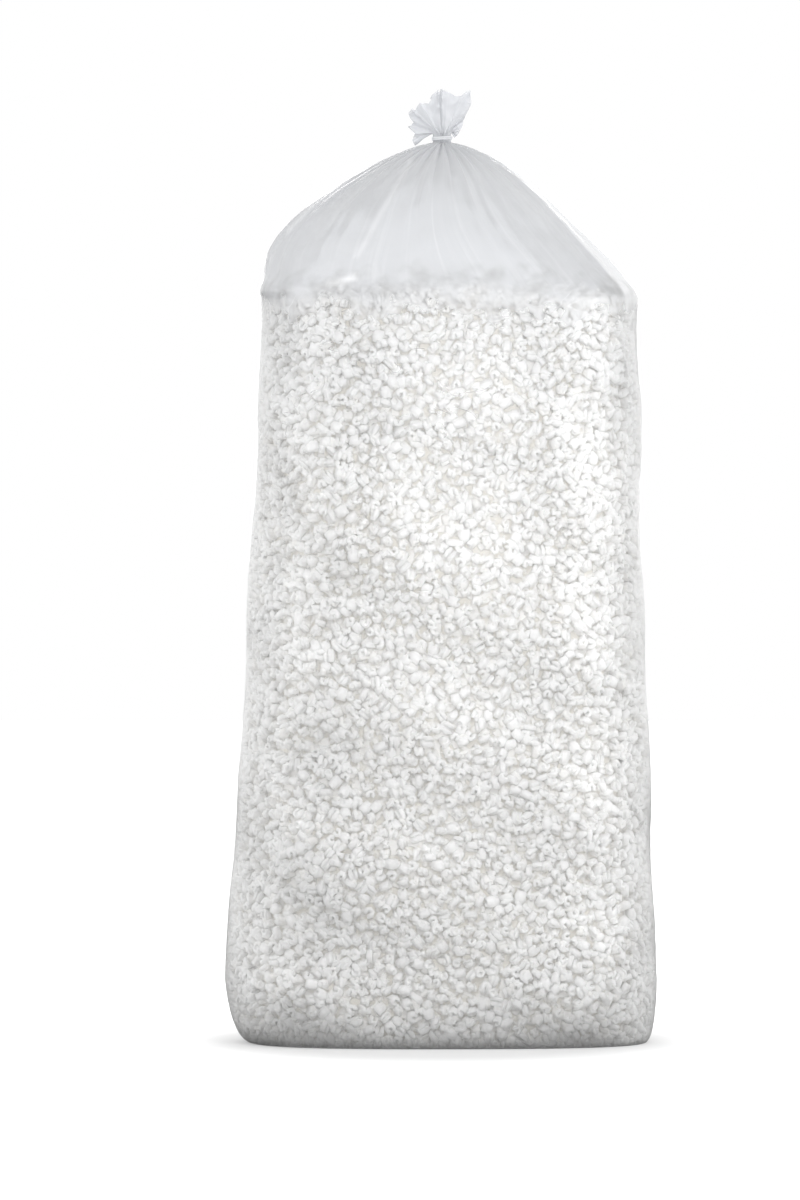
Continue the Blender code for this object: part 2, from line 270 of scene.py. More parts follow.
def fillSurface(name, inset, finer=1):
    # Walls and heap as one closed mesh, moved in by the inset. Scattered points are thinned out face by
    # face, so a surface for them has small faces in a mixed order, or the peanuts would stand in rows.
    theta = evenAngles(fill["columns"] * finer)
    rise = 0.0015 + inset
    wallTop = sackShape["shoulderHeight"] - 0.3 * inset
    walls = np.concatenate(([rise * 0.98], np.linspace(rise, wallTop, fill["wallRows"] * finer)))
    rows = []
    for z in walls:
        rows.append(sectionRing(theta, z, wallWave(theta, z) - slackIn(theta, z) - inset))
    edge = rows[-1]
    middle = edge.mean(axis=0)
    heapRows = fill["heapRows"] * finer
    for row in range(1, heapRows):
        out = math.cos(0.5 * math.pi * row / heapRows)
        ring = middle + (edge - middle) * out
        top = heapHeight(ring[:, 0], ring[:, 1]) - inset
        ring[:, 2] = mix(top, np.maximum(edge[:, 2], 0), smooth((out - 0.93) / 0.07))
        rows.append(ring)
    return gridMesh(name, np.array(rows), closeBottom=True, closeTop=True, mixed=finer > 1)


def slackIn(theta, z):         # gap from the film to the peanuts, wider towards the shoulder
    nearTop = smooth((z - 0.95) / 0.30)
    above = smooth((z - sackShape["shoulderHeight"]) / 0.03)
    sideways = 0.35 + 0.65 * np.clip(np.cos(theta), 0, 1)
    return fill["filmGap"] + fill["slackAtShoulder"] * nearTop * sideways + fill["slackAbove"] * above


def middleLine(kind, knots):
    # A curl is most of a ring, and an S is two smaller arcs that meet in the middle
    if kind == "curl":
        angles = np.radians(np.linspace(-142, 142, knots))
        return np.column_stack((-np.cos(angles), np.sin(angles))) * peanut["curl"]
    side = (knots - 1) // 2
    angles = np.radians(np.linspace(20, 195, side))
    upper = np.column_stack((np.cos(angles), 1 + np.sin(angles))) * peanut["bend"]
    return np.concatenate((upper, [(0.0, 0.0)], -upper[::-1]))


def outlineOf(line, stroke):
    along = np.gradient(line, axis=0)
    along /= np.linalg.norm(along, axis=1, keepdims=True)
    side = np.column_stack((-along[:, 1], along[:, 0])) * stroke / 2
    return np.concatenate((line - side, (line + side)[::-1]))


def peanutMesh(name, kind, knots, ends, material):
    line = middleLine(kind, knots)
    half = peanut["length"] / 2
    rings = []
    for place, width in ends:
        outline = outlineOf(line * mix(1.0, width, 0.15), peanut["stroke"] * width)
        rings.append(np.column_stack((outline, np.full(len(outline), half * place))))
    mesh = gridMesh(name, np.array(rings), closeBottom=True, closeTop=True)
    bm = bmesh.new()
    bm.from_mesh(mesh)
    bmesh.ops.recalc_face_normals(bm, faces=bm.faces)
    bmesh.ops.triangulate(bm, faces=[face for face in bm.faces if len(face.verts) > 4])
    bm.to_mesh(mesh)
    bm.free()
    mesh.shade_smooth()
    mesh.materials.append(material)
    return bpy.data.objects.new(name, mesh)


def scatterTree(variants, material):
    # Copies of the variants lie under a surface, within one sector round the upright axis
    tree = bpy.data.node_groups.new("scatterPeanuts", "GeometryNodeTree")
    face = tree.interface
    face.new_socket("Surface", in_out="INPUT", socket_type="NodeSocketGeometry")
    sizes = {"Spacing": 0.02, "Depth": 0.01, "Sink": 0.005, "Candidates": 20000.0, "Size spread": 0.1}
    for name, value in sizes.items():
        face.new_socket(name, in_out="INPUT", socket_type="NodeSocketFloat").default_value = value
    for name, value in {"Sector": 0, "Sectors": 4, "Seed": 1}.items():
        face.new_socket(name, in_out="INPUT", socket_type="NodeSocketInt").default_value = value
    face.new_socket("Peanuts", in_out="OUTPUT", socket_type="NodeSocketGeometry")
    net = Net(tree)
    given = tree.nodes.new("NodeGroupInput")

    def read(name):
        return Wire(net, given.outputs[name])

    def anyNumber(low, high, seed):
        values = {"Min": low, "Max": high, "Seed": seed}
        return net.add("FunctionNodeRandomValue", {"data_type": "FLOAT"}, values, out=1)

    def anyVector(most, seed):
        values = {"Min": (-most,) * 3, "Max": (most,) * 3, "Seed": seed}
        return net.add("FunctionNodeRandomValue", {"data_type": "FLOAT_VECTOR"}, values)

    points = net.add("GeometryNodeDistributePointsOnFaces", {"distribute_method": "POISSON"}, {
        "Mesh": read("Surface"), "Distance Min": read("Spacing"), "Density Max": read("Candidates"),
        "Seed": read("Seed"),
    })
    normal = Wire(net, points.socket.node.outputs["Normal"])
    place = net.add("GeometryNodeInputPosition")
    parts = net.add("ShaderNodeSeparateXYZ", None, {0: place})
    x, y = (Wire(net, parts.socket.node.outputs[i]) for i in (0, 1))
    turn = (y.maths("ARCTAN2", x) * (1 / tau) + 0.5) * read("Sectors")
    here = turn.maths("FLOOR").maths("COMPARE", read("Sector"), 0.1)
    kept = net.add("GeometryNodeDeleteGeometry", {"domain": "POINT"}, {
        "Geometry": points, "Selection": 1 - here,
    })
    down = (read("Depth") + anyNumber(0.0, 1.0, 3) * read("Sink")) * -1
    offset = net.add("ShaderNodeVectorMath", {"operation": "SCALE"}, {0: normal, "Scale": down})
    sunk = net.add("GeometryNodeSetPosition", None, {"Geometry": kept, "Offset": offset})
    # They lie any way round, and some have an end against the film, so that their curl shows
    endOn = anyNumber(0.0, 1.0, 13).maths("GREATER_THAN", peanut["lyingShare"]) * peanut["endOnPull"]
    outward = net.add("ShaderNodeVectorMath", {"operation": "SCALE"}, {0: normal, "Scale": endOn})
    along = net.add("ShaderNodeVectorMath", {"operation": "ADD"}, {0: anyVector(1.0, 15), 1: outward})
    turned = net.add("FunctionNodeAlignRotationToVector", {"axis": "Z"}, {
        "Rotation": anyVector(math.pi, 5), "Factor": 1.0, "Vector": along,
    })
    size = 1 + anyNumber(-1.0, 1.0, 7) * read("Size spread")
    choice = {"Min": 0, "Max": len(variants) - 1, "Seed": 9}
    which = net.add("FunctionNodeRandomValue", {"data_type": "INT"}, choice, out=2)
    joined = tree.nodes.new("GeometryNodeJoinGeometry")
    for variant in reversed(variants):
        shape = {"Object": variant, "As Instance": True}
        info = net.add("GeometryNodeObjectInfo", None, shape, out="Geometry")
        tree.links.new(info.socket, joined.inputs[0])
    copies = net.add("GeometryNodeInstanceOnPoints", None, {
        "Points": sunk, "Instance": Wire(net, joined.outputs[0]), "Pick Instance": True,
        "Instance Index": which, "Rotation": turned, "Scale": size,
    })
    toned = net.add("GeometryNodeStoreNamedAttribute", {"data_type": "FLOAT", "domain": "INSTANCE"}, {
        "Geometry": copies, "Name": "tone", "Value": anyNumber(0.0, 1.0, 11),
    })
    real = net.add("GeometryNodeRealizeInstances", None, {"Geometry": toned})
    dressed = net.add("GeometryNodeSetMaterial", None, {"Geometry": real, "Material": material})
    shown = tree.nodes.new("NodeGroupOutput")
    tree.links.new(dressed.socket, shown.inputs[0])
    return tree


def scatterOn(surface, tree, name, settings):
    holder = bpy.data.objects.new(name, surface)
    bpy.context.scene.collection.objects.link(holder)
    modifier = holder.modifiers.new("scatterPeanuts", "NODES")
    modifier.node_group = tree
    ids = {item.name: item.identifier for item in tree.interface.items_tree if item.in_out == "INPUT"}
    for socket, value in settings.items():
        modifier[ids[socket]] = value
    graph = bpy.context.evaluated_depsgraph_get()
    mesh = bpy.data.meshes.new_from_object(holder.evaluated_get(graph))
    holder.modifiers.remove(modifier)
    bpy.data.objects.remove(holder)
    mesh.name = name
    return mesh


def keepInside(mesh):
    # Every point beyond the film is moved back to it, so that each peanut lies flat where it meets the film
    points = np.empty(len(mesh.vertices) * 3, dtype=np.float32)
    mesh.vertices.foreach_get("co", points)
    points = points.reshape(-1, 3).astype(float)
    for _ in range(2):
        z = np.clip(points[:, 2], 0.0016, sackShape["shoulderHeight"] + 0.9 * sackShape["coneHeight"])
        halfWidth, halfDepth, middle, power = outlineAt(z)
        x, y = points[:, 0] - middle, points[:, 1]
        u, v = x / halfWidth, y / halfDepth
        theta = np.arctan2(np.sign(v) * np.abs(v) ** (power / 2), np.sign(u) * np.abs(u) ** (power / 2))
        room = wallWave(theta, z) - slackIn(theta, z)
        a, b = halfWidth + room, halfDepth + room
        level = (np.abs(x / a) ** power + np.abs(y / b) ** power) ** (1 / power)
        shrink = 1 / np.maximum(level, 1.0)
        points[:, 0], points[:, 1], points[:, 2] = middle + x * shrink, y * shrink, z
    mesh.vertices.foreach_set("co", points.astype(np.float32).ravel())
    mesh.update()


foamColours = {                # the duller and the whiter end of each
    "front": ((0.978, 0.976, 0.969), (0.990, 0.989, 0.985)),
    # The deep pair is painted shade: the deeper peanuts are the same foam, coloured darker and warmer for the
    # shade in the gaps between the front ones
    "deep": ((0.958, 0.946, 0.922), (0.978, 0.971, 0.956)),
    # The packed pair's duller end is painted shade in the hollows of the core
    "packed": ((0.780, 0.748, 0.680), (0.968, 0.960, 0.942)),
}


def peanutFoam(name, shaded, lit):
    material, net = newMaterial(name)
    tone = net.add("ShaderNodeAttribute", {"attribute_name": "tone"}, out="Fac")
    place = net.add("ShaderNodeTexCoord", out="Object")
    pits = net.add("ShaderNodeTexNoise", None, {"Vector": place, "Scale": 420.0, "Detail": 1.0})
    cloud = net.add("ShaderNodeTexNoise", None, {"Vector": place, "Scale": 60.0, "Detail": 1.0})
    bump = net.add("ShaderNodeBump", None, {"Strength": 0.3, "Distance": 0.0008, "Height": pits})
    shader = net.add("ShaderNodeBsdfPrincipled", None, {
        "Base Color": net.blend(0.6 * tone + 0.4 * cloud, shaded, lit), "Roughness": 0.8,
        "Specular IOR Level": 0.2, "Normal": bump,
    })
    finishMaterial(net, shader)
    return material


def packedFoamAndShade():              # the peanuts deeper in, seen only through the gaps between those in front
    material, net = newMaterial("packedPeanutFoamAndShade")
    place = net.add("ShaderNodeTexCoord", out="Object")
    lumps = net.add("ShaderNodeTexNoise", None, {
        "Vector": place, "Scale": 95.0, "Detail": 0.5, "Distortion": 0.4,
    })
    # The hollows between the lumps are painted a darker tan as shade, and the crests white
    crest = net.range(lumps, 0.36, 0.58)
    bump = net.add("ShaderNodeBump", None, {"Strength": 0.8, "Distance": 0.004, "Height": crest})
    shader = net.add("ShaderNodeBsdfPrincipled", None, {
        "Base Color": net.blend(crest, *foamColours["packed"]), "Roughness": 0.8,
        "Specular IOR Level": 0.2, "Normal": bump,
    })
    finishMaterial(net, shader)
    return material


def makePeanuts(foam):
    # The peanuts behind get darker, warmer colours as painted shade between the front ones
    deepFoamShade = peanutFoam("deepPeanutFoamShade", *foamColours["deep"])
    outerTree = scatterTree([
        peanutMesh("curl", "curl", 6, peanut["roundEnds"], foam),
        peanutMesh("bend", "bend", 5, peanut["roundEnds"], foam),
    ], foam)
    innerTree = scatterTree([
        peanutMesh("plainCurl", "curl", 5, peanut["plainEnds"], deepFoamShade),
        peanutMesh("plainBend", "bend", 5, peanut["plainEnds"], deepFoamShade),
    ], deepFoamShade)
    surface = fillSurface("fillFace", 0.0, fill["finer"])
    for layer, tree, seed in (("outer", outerTree, 4), ("inner", innerTree, 8)):
        sectors = peanut[f"{layer}Sectors"]
        settings = {
            "Spacing": peanut[f"{layer}Spacing"], "Depth": peanut[f"{layer}Depth"],
            "Sink": peanut[f"{layer}Sink"], "Candidates": peanut["candidates"],
            "Size spread": peanut["spread"], "Sectors": sectors, "Seed": seed,
        }
        for sector in range(sectors):
            name = f"{layer}Peanuts{sector + 1}"
            mesh = scatterOn(surface, tree, name, {**settings, "Sector": sector})
            keepInside(mesh)
            addPiece(name, mesh, None, ["loose_fill"] if name == "outerPeanuts1" else ())
            print(layer, "peanuts", sector + 1, triangles(mesh), "triangles")
    core = fillSurface("fillCore", fill["coreDepth"])
    addPiece("fillCore", core, packedFoamAndShade())
    print("core", triangles(core), "triangles")


# Film

film = {
    "columns": 320, "footRows": 9, "bodyRows": 100, "coneRows": 62, "neckRows": 5, "ruffleRows": 40,
    "bump": 0.0008, "bumpSize": 0.021, "foldsWide": 15, "foldsFine": 37, "foldDepth": 0.0045,
    "neckPleats": 32, "neckPleatDepth": 0.30, "leftStep": 0.0075, "rightStep": 0.0050,
}
# The mouth spreads from the tie like a fan. Each pair is a direction, in degrees up from the right, and
# how far the film reaches there.
tuft = {
    "reach": (
        (0, 0.020), (23, 0.033), (41, 0.046), (51, 0.074), (60, 0.091), (72, 0.074), (90, 0.078),
        (103, 0.074), (109, 0.062), (120, 0.066), (143, 0.069), (150, 0.054), (160, 0.060),
        (168, 0.044), (183, 0.050), (195, 0.046),
    ),
    "rise": 0.011, "depth": 0.026, "pleats": 10, "pleatDepth": 0.0040, "pleatReach": 0.13, "crumple": 0.0020,
}


def crease(x):                 # a wave with sharp crests and round hollows, from 0 to 1
    return 1 - np.abs(np.sin(0.5 * x))


def pointNoise(grid, size, seed):
    # Turned, because the noise is flat along its own axes and would show as rows and columns
    turn = np.array(Euler((0.6, 0.9, 0.4)).to_matrix()) / size
    shift = np.array((7.3, 3.1, 5.7)) * seed
    flat = [noise.noise(point) for point in grid.reshape(-1, 3) @ turn.T + shift]
    return np.array(flat).reshape(grid.shape[:-1])


def coneFolds(theta, share, middleNoise):
    # Gathers run down from the neck: fine ones near it, a few wide ones further out
    warp = theta + 0.10 * np.sin(3 * theta + 1.0) + 0.05 * np.sin(7 * theta + 2.0)
    warp = warp + 0.12 * middleNoise * (1 - share)
    wide = crease(film["foldsWide"] * warp + 0.8)
    fine = crease(film["foldsFine"] * (theta + 0.03 * np.sin(11 * theta)) + 2.1)
    swell = np.sin(math.pi * np.clip(share, 0, 1) ** 0.8)
    depth = film["foldDepth"] * (0.25 + swell)
    return depth * (0.62 * wide + 0.38 * fine * smooth(2.2 * share) - 0.85)


def mouthRows(start):
    t = (np.arange(1, film["ruffleRows"] + 1) / film["ruffleRows"])[:, None]
    # Round the neck the film is bunched evenly, so the angles are even there too
    around = np.arange(film["columns"]) * tau / film["columns"]
    back = np.sign(math.pi - around)
    degrees, reach = np.array(tuft["reach"]).T
    spread = 1 - np.abs(around - math.pi) / math.pi
    wander = 0.035 * np.sin(9 * around + 1.0) + 0.02 * np.sin(23 * around)
    direction = degrees[-1] * np.clip(spread + wander * np.sin(math.pi * spread), 0, 1)
    far = np.interp(direction, degrees, reach)
    lobe = np.abs(np.cos(tuft["pleats"] * around + 1.2 * np.sin(3 * around)))
    far = far * (1 + tuft["pleatReach"] * (lobe ** 0.7 - 0.7) * np.sin(math.pi * spread))
    angle = np.radians(direction)
    deep = tuft["depth"] * np.sin(math.pi * np.clip(spread, 0, 1)) ** 0.7
    deep = deep + tuft["pleatDepth"] * (2 * lobe - 1)
    centre = start.mean(axis=0) - (0, 0, sackShape["neckLength"] / 2)
    end = centre + np.stack((far * np.cos(angle), back * deep, far * np.sin(angle)), axis=-1)
    rise = tuft["rise"] * (1 - 0.8 * smooth((direction - 130) / 50))[:, None]
    bend = start + (end - start) * (0.25, 0.25, 0.0) + rise * (0, 0, 1)
    out = t[..., None]
    rows = (1 - out) ** 2 * start + 2 * out * (1 - out) * bend + out ** 2 * end
    for axis in range(3):
        rows[..., axis] += tuft["crumple"] * smooth(2 * t) * pointNoise(rows, 0.013, 5 + axis)
    return rows


def filmGrid():
    s = sackShape
    theta = evenAngles(film["columns"])
    footZ = s["bellyHeight"] * (1 - np.cos(0.5 * math.pi * np.arange(film["footRows"]) / film["footRows"]))
    bodyZ = np.linspace(s["bellyHeight"], s["shoulderHeight"], film["bodyRows"], endpoint=False)
    z = np.concatenate((footZ, bodyZ))[:, None]
    plain = sectionRing(theta, z)
    bumps = 0.5 + pointNoise(plain, film["bumpSize"], 1)
    lower = sectionRing(theta, z, wallWave(theta, z) + film["bump"] * bumps * smooth(z / 0.02))

    share = np.sin(0.5 * math.pi * np.arange(film["coneRows"] + 1) / film["coneRows"])[:, None]
    z = s["shoulderHeight"] + s["coneHeight"] * share
    plain = sectionRing(theta, z)
    slow = pointNoise(plain, 0.16, 2)
    small = pointNoise(plain, 0.035, 3)
    radius = np.hypot(plain[..., 0] - plain[..., 0].mean(axis=1, keepdims=True), plain[..., 1])
    out = wallWave(theta, z) * (1 - share) + film["bump"] * 0.5 * (1 - smooth(4 * share))
    fade = smooth(5 * share)
    out = out + fade * coneFolds(theta, share, slow)
    out = out + fade * (0.007 * slow + 0.0022 * small) * (1 - share ** 6)
    # The film steps in just above the fill, more on the left
    step = smooth((z - s["shoulderHeight"] - 0.014) / 0.020) * (1 - share ** 6)
    out = out - film["leftStep"] * step * np.clip(-np.cos(theta), 0, 1) ** 2
    out = out - film["rightStep"] * step * (1 - smooth(2.5 * share - 1)) * np.clip(np.cos(theta), 0, 1) ** 2
    out = np.maximum(out, -0.35 * radius)
    upper = sectionRing(theta, z, out)
    pleats = film["neckPleatDepth"] * share ** 9 * (crease(film["neckPleats"] * theta) - 0.25)
    centre = plain.mean(axis=1, keepdims=True)
    upper[..., :2] = centre[..., :2] + (upper - centre)[..., :2] * (1 - pleats)[..., None]

    # The neck runs straight up through the tie, and the mouth opens above it
    collar = upper[-1]
    neckZ = s["neckLength"] * np.arange(1, film["neckRows"] + 1) / film["neckRows"]
    neck = np.repeat(collar[None], film["neckRows"], axis=0)
    neck[..., 2] += neckZ[:, None]

    return np.concatenate((lower, upper, neck, mouthRows(neck[-1])))


# How milky the film is, the painted highlights of its streaks, creases and marked lines and the painted shade
# of its folds that add to that, and the colours of its haze
haze = {
    "body": 0.25, "slack": 0.01, "cone": 0.37, "mouth": 0.06, "fold": 0.20,
    "streakHighlights": 0.05, "creaseHighlights": 0.14, "paintedHighlight": 0.22,
    "bodyColour": (0.880, 0.880, 0.872), "slackColour": (0.740, 0.745, 0.750),
    "coneColour": (0.722, 0.735, 0.760), "mouthColour": (0.655, 0.667, 0.695),
    "foldColour": (0.600, 0.612, 0.640), "highlightColour": (0.940, 0.945, 0.955),
}


def clearFilm():
    material, net = newMaterial("clearSackFilm")
    around = net.add("ShaderNodeTexCoord", out="UV")
    place = net.add("ShaderNodeTexCoord", out="Object")
    height = Wire(net, net.add("ShaderNodeSeparateXYZ", None, {0: place}).socket.node.outputs[2])
    patches = net.add("ShaderNodeTexNoise", None, {"Vector": place, "Scale": 13.0, "Detail": 1.0})
    clumps = net.add("ShaderNodeTexNoise", None, {"Vector": place, "Scale": 34.0, "Detail": 1.0})
    uneven = height + 0.10 * (clumps - 0.5) + 0.05 * (patches - 0.5)
    empty = net.range(uneven, sackShape["shoulderHeight"] - 0.045, sackShape["shoulderHeight"] + 0.050)
    slack = net.range(height, 0.85, sackShape["shoulderHeight"] + 0.01)
    tuftShare = net.range(height, sackShape["shoulderHeight"] + 0.20, sackShape["shoulderHeight"] + 0.27)
    # Fine streaks run down from the neck, and short creases lie over the peanuts. The streaks raise the bump,
    # and both are painted whiter as highlights
    streakPlace = net.add("ShaderNodeMapping", None, {"Vector": around, "Scale": (120.0, 3.0, 1.0)})
    streaks = net.add("ShaderNodeTexNoise", None, {
        "Vector": streakPlace, "Scale": 1.0, "Detail": 3.0, "Roughness": 0.6,
    })
    creasePlace = net.add("ShaderNodeMapping", None, {"Vector": place, "Scale": (9.0, 9.0, 19.0)})
    wander = net.add("ShaderNodeTexNoise", None, {
        "Vector": creasePlace, "Scale": 1.0, "Detail": 2.0, "Roughness": 0.55, "Distortion": 0.6,
    })
    crinklePlace = net.add("ShaderNodeMapping", None, {"Vector": place, "Rotation": (0.6, 0.9, 0.4)})
    crinkle = net.add("ShaderNodeTexNoise", None, {
        "Vector": crinklePlace, "Scale": 75.0, "Detail": 2.0, "Roughness": 0.6,
    })
    ridge = 1 - (wander - 0.5).maths("ABSOLUTE") * 10.0
    creaseHighlights = net.range(ridge, 0.78, 1.0) * net.range(patches, 0.55, 0.68)
    relief = streaks * empty * 0.5 + crinkle * 0.4
    bump = net.add("ShaderNodeBump", None, {"Strength": 0.5, "Distance": 0.0025, "Height": relief})
    streakHighlights = net.range(streaks, 0.46, 0.86)
    paintedHighlight = net.add("ShaderNodeAttribute", {"attribute_name": "paintedHighlight"}, out="Fac")
    # Painted shade along the folds: the haze there is thicker and painted darker
    fold = net.add("ShaderNodeAttribute", {"attribute_name": "fold"}, out="Fac")
    hazier = haze["slack"] * slack + haze["cone"] * empty + haze["mouth"] * tuftShare + haze["fold"] * fold
    milky = haze["body"] + hazier
    # Painted highlights: on the streaks in the cone, the creases over the fill and the marked lines the haze
    # is thicker and painted whiter
    overFill = creaseHighlights * slack * (1 - empty)
    highlightMarks = haze["streakHighlights"] * streakHighlights * empty + haze["creaseHighlights"] * overFill + haze["paintedHighlight"] * paintedHighlight
    highlightShare = highlightMarks.maths("MINIMUM", 1.0)
    clear = net.add("ShaderNodeBsdfTransparent", None, {"Color": (0.975, 0.978, 0.985, 1.0)})
    # Over the peanuts the haze is painted lighter, as the light of their white coming through it, and above
    # them it is painted greyer and bluer
    veil = net.blend(slack, haze["bodyColour"], haze["slackColour"])
    for share, colour in ((empty, "coneColour"), (tuftShare, "mouthColour"), (fold, "foldColour")):
        veil = net.blend(share, veil, haze[colour])
    body = net.add("ShaderNodeBsdfPrincipled", None, {
        "Base Color": net.blend(highlightShare * 3.0, veil, haze["highlightColour"]), "Roughness": 0.5,
        "Specular IOR Level": 0.0, "Normal": bump,
    })
    cloudy = net.add("ShaderNodeMixShader", None, {0: milky + highlightShare, 1: clear, 2: body})
    gloss = net.add("ShaderNodeBsdfGlossy", None, {
        "Color": (1.0, 1.0, 1.0, 1.0), "Roughness": 0.27, "Normal": bump,
    })
    mirror = net.add("ShaderNodeFresnel", None, {"IOR": 1.34, "Normal": bump})
    shader = net.add("ShaderNodeMixShader", None, {0: mirror, 1: cloudy, 2: gloss})
    finishMaterial(net, shader)
    return material


# Painted highlights along creases and streaks, and painted shade along folds, as lines of x and z on the
# front, with a width and a strength
filmMarks = {
    "paintedHighlight": (
        (((-0.158, 1.437), (-0.216, 1.394), (-0.255, 1.351)), 0.007, 0.5),
        (((-0.053, 1.466), (-0.140, 1.304)), 0.008, 0.35),
        (((-0.184, 1.258), (-0.162, 1.264), (-0.145, 1.269)), 0.010, 1.0),
        (((-0.162, 1.264), (-0.168, 1.250)), 0.008, 0.8),
        (((-0.105, 1.206), (-0.088, 1.216), (-0.072, 1.221)), 0.008, 0.9),
        (((-0.301, 1.211), (-0.301, 1.186)), 0.007, 0.8),
    ),
    "fold": (
        (((-0.152, 1.429), (-0.210, 1.386), (-0.249, 1.343)), 0.013, 0.9),
        (((-0.270, 1.262), (-0.200, 1.272), (-0.120, 1.262)), 0.012, 0.35),
        (((0.060, 1.440), (0.150, 1.350)), 0.012, 0.25),
    ),
}


def nearLine(grid, line, width):
    # 1 on the line, as seen from the front, and 0 beyond the width
    seen = grid[..., ::2]
    nearest = np.full(grid.shape[:2], np.inf)
    for start, end in zip(np.array(line), np.array(line[1:])):
        along = end - start
        t = np.clip(((seen - start) @ along) / (along @ along), 0, 1)
        nearest = np.minimum(nearest, np.linalg.norm(seen - start - t[..., None] * along, axis=-1))
    return smooth(1 - nearest / width) * (grid[..., 1] < 0)


def makeFilm():
    grid = filmGrid()
    down = np.linspace(0, 1, len(grid))
    mesh = gridMesh("clearSack", grid, closeBottom=True, uvs=down)
    # Down the right of the cone the film lies folded double, which makes the haze thicker there, and it is
    # also painted whiter as a highlight
    side = np.angle(np.exp(1j * evenAngles(film["columns"])))
    height = grid[:, :1, 2]
    band = smooth((side + 0.46) / 0.05) * (1 - smooth((side - 0.10) / 0.3))
    paintedHighlight = band * smooth((height - 1.19) / 0.06) * (1 - smooth((height - 1.42) / 0.06))
    for name, start in (("paintedHighlight", paintedHighlight), ("fold", np.zeros(grid.shape[:2]))):
        marked = start
        for line, width, strength in filmMarks[name]:
            marked = np.maximum(marked, strength * nearLine(grid, line, width))
        layer = mesh.attributes.new(name, "FLOAT", "POINT")
        layer.data.foreach_set("value", marked.astype(np.float32).ravel())
    addPiece("clearSack", mesh, clearFilm(), ["clear_film_sack"])
    print("film", triangles(mesh), "triangles")


# Twist tie

tie = {
    "wire": 0.0013, "turns": 2, "opening": 0.10, "twists": 1.5, "tail": 0.016, "gap": 0.0003,
    "turnSteps": 40, "tailSteps": 18, "darker": (0.66, 0.67, 0.69), "lighter": (0.74, 0.75, 0.77),
}


def tieCover():
    material, net = newMaterial("tieCover")
    place = net.add("ShaderNodeTexCoord", out="Object")
    scuffs = net.add("ShaderNodeTexNoise", None, {"Vector": place, "Scale": 700.0, "Detail": 3.0})
    bump = net.add("ShaderNodeBump", None, {"Strength": 0.2, "Distance": 0.0002, "Height": scuffs})
    shader = net.add("ShaderNodeBsdfPrincipled", None, {
        "Base Color": net.blend(scuffs, tie["darker"], tie["lighter"]), "Roughness": 0.4, "Normal": bump,
    })
    finishMaterial(net, shader)
    return material


def tieRoute(height):          # turns round the neck, then both ends twisted together at the back
    pitch = 2 * tie["wire"] + tie["gap"]
    apart = tie["wire"] + tie["gap"]
    reach = sackShape["neckRadius"] + tie["gap"] + tie["wire"]
    first, last = 0.5 * math.pi + tie["opening"], 0.5 * math.pi - tie["opening"] + tau * tie["turns"]
    steps = tie["turnSteps"] * tie["turns"]
    points = []
    for i in range(steps + 1):
        share = i / steps
        angle = mix(first, last, share)
        climb = height + pitch * tie["turns"] * (share - 0.5)
        points.append(Vector((reach * math.cos(angle), reach * math.sin(angle), climb)))
    tails = []
    for side, base in ((-1, points[0]), (1, points[-1])):
        tail = []
        for i in range(1, tie["tailSteps"] + 1):
            share = i / tie["tailSteps"]
            turn = tau * tie["twists"] * share
            lean = Vector((apart * math.cos(turn), 0.0, -apart * math.sin(turn))) * -side
            tail.append(Vector((0.0, base.y + apart + tie["tail"] * share, height)) - lean)
        tails.append(tail)
    return [*tails[0][::-1], *points, *tails[1]]


def makeTie():
    low, high = (Vector(corner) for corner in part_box("neck_twist_tie"))
    route = tieRoute((low.z + high.z) / 2)
    curve = bpy.data.curves.new("twistTie", "CURVE")
    curve.dimensions, curve.use_fill_caps = "3D", True
    curve.bevel_depth, curve.bevel_resolution = tie["wire"], 3
    spline = curve.splines.new("POLY")
    spline.points.add(len(route) - 1)
    for knot, point in zip(spline.points, route):
        knot.co = (*point, 1.0)
    spline.use_smooth = True
    addPiece("twistTie", curve, tieCover(), ["neck_twist_tie"])
    print("tie", len(route), "points")


# Loose peanuts on the heap keep their places, with their edges puffed round

def makeTopPeanuts(foam):
    bm = bmesh.new()
    nodes = [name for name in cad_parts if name.startswith("peanut_")]
    for name in nodes:
        bm.from_mesh(bpy.data.objects[name].data)
    bmesh.ops.remove_doubles(bm, verts=bm.verts, dist=1e-6)
    bmesh.ops.recalc_face_normals(bm, faces=bm.faces)
    mesh = bpy.data.meshes.new("topPeanuts")
    bm.to_mesh(mesh)
    bm.free()
    mesh.shade_smooth()
    piece = addPiece("topPeanuts", mesh, foam, nodes)
    puff = piece.modifiers.new("puff", "SUBSURF")
    puff.levels = puff.render_levels = 1
    print("top peanuts", len(nodes))


# Floor, lights and camera

studio = {
    "photoScale": 0.001668, "photoWidth": 800, "photoHeight": 1200, "footPixel": (442, 1042),
    "cameraAway": 16.0, "cameraTilt": math.radians(0.3), "wallLight": 1.00, "ceilingLight": 0.60,
    "floorSeen": (0.45, 0.45, 0.45), "floorLighting": (0.28, 0.28, 0.28),
    "liftNear": 0.26, "liftFar": 0.60, "paintedShadowLift": 0.30, "lampAim": (0.0, 0.0, 0.95),
    # Each softbox has a place, a size and a power
    "softboxes": {
        "front": ((0.3, -2.4, 1.38), 1.4, 29.0), "right": ((3.1, -1.0, 1.38), 2.0, 43.0),
        "left": ((-3.1, -1.0, 1.38), 2.0, 41.0), "back": ((0.0, 3.4, 1.8), 2.0, 45.0),
    },
}


